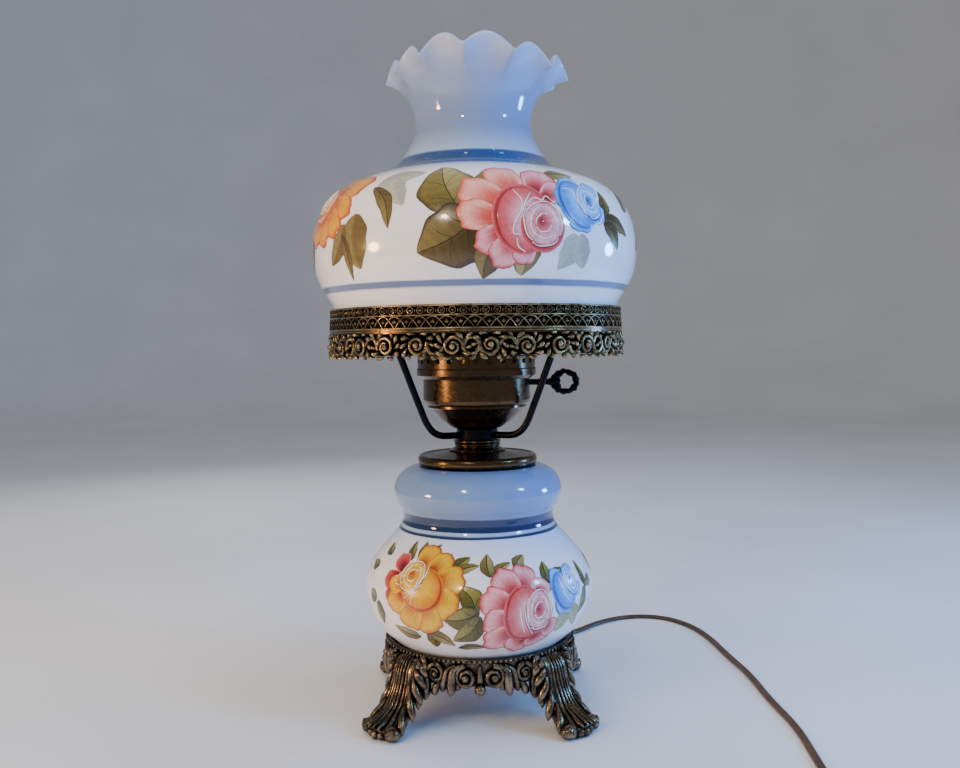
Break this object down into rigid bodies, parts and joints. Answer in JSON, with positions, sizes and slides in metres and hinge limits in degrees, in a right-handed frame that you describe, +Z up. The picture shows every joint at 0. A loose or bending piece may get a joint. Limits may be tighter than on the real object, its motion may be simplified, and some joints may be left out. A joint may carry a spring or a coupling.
{
  "type": "oil lamp",
  "caption": "Electric table lamp in the shape of an oil lamp: painted milk glass font and shade, brass ring, turn-key burner and cast foot with a supply cord.",
  "frame": {"origin": "on the surface the lamp stands on, on its upright axis", "axes": "+Z up the lamp axis; the switch key points along +X; the front, as shown, is -Y"},
  "size_m": [0.4209, 0.455, 0.461],
  "materials": {
    "shade_milk_glass": "glossy opal white with fired painted flowers and blue bands",
    "font_milk_glass": "glossy opal white with fired painted flowers and navy bands",
    "antique_brass": "antiqued, dark recesses and rubbed highlights",
    "antique_casting": "antiqued casting, dark recesses and rubbed highlights",
    "dark_metal": "oil-rubbed dark bronze, satin",
    "plated_steel": "zinc plated",
    "socket_brass": "satin",
    "bright_aluminium": "satin",
    "phenolic": "moulded, satin",
    "sleeve_card": "insulating card, matt",
    "black_vitrite": "black glass insulator",
    "bulb_clear_glass": "clear",
    "filament_wire": "drawn wire",
    "black_rubber": "matt",
    "brown_cord": "soft brown vinyl",
    "tie_black": "woven strap",
    "brown_plug": "moulded brown vinyl"
  },
  "bodies": {
    "lamp": {"bottom_nut": "plated_steel", "bottom_washer": "plated_steel", "burner_cup": "antique_brass", "burner_gallery": "antique_brass", "center_contact": "socket_brass", "cord_coil": "brown_cord", "cord_grommet": "black_rubber", "cord_run": "brown_cord", "cord_tail": "brown_cord", "cord_tie": "tie_black", "cup_nut": "plated_steel", "font_gasket": "black_rubber", "font_glass": "font_milk_glass", "foot_casting": "antique_casting", "gallery_band": "antique_brass", "inner_cord": "brown_cord", "insulating_sleeve": "sleeve_card", "lamp_pipe": "plated_steel", "neck_collar": "antique_brass", "plug_blades": "socket_brass", "plug_body": "brown_plug", "ring_arm_back": "dark_metal", "ring_arm_left": "dark_metal", "ring_arm_right": "dark_metal", "screw_shell": "bright_aluminium", "scroll_skirt": "antique_brass", "shade_ring": "antique_brass", "socket_body": "phenolic", "socket_cap": "socket_brass", "socket_cover": "socket_brass", "terminal_screws": "socket_brass", "tripod_hub": "dark_metal", "vase_cap": "antique_brass"},
    "key": {"key_stem": "dark_metal", "key_collar": "dark_metal", "key_bow": "dark_metal", "switch_rotor": "phenolic"},
    "bulb": {"bulb_contact": "socket_brass", "bulb_insulator": "black_vitrite", "bulb_base": "bright_aluminium", "bulb_glass": "bulb_clear_glass", "bulb_stem": "bulb_clear_glass", "bulb_filament": "filament_wire"},
    "shade": {"shade_glass": "shade_milk_glass"}
  },
  "joints": [
    {"name": "key_turn", "type": "hinge", "parent": "lamp", "child": "key", "pos_m": [0.05, 0, 0.2275], "axis": [1, 0, 0], "continuous": true},
    {"name": "bulb_lift", "type": "slide", "parent": "lamp", "child": "bulb", "axis": [0, 0, 1], "range_m": [0, 0.03]},
    {"name": "shade_lift", "type": "slide", "parent": "lamp", "child": "shade", "axis": [0, 0, 1], "range_m": [0, 0.1]}
  ]
}
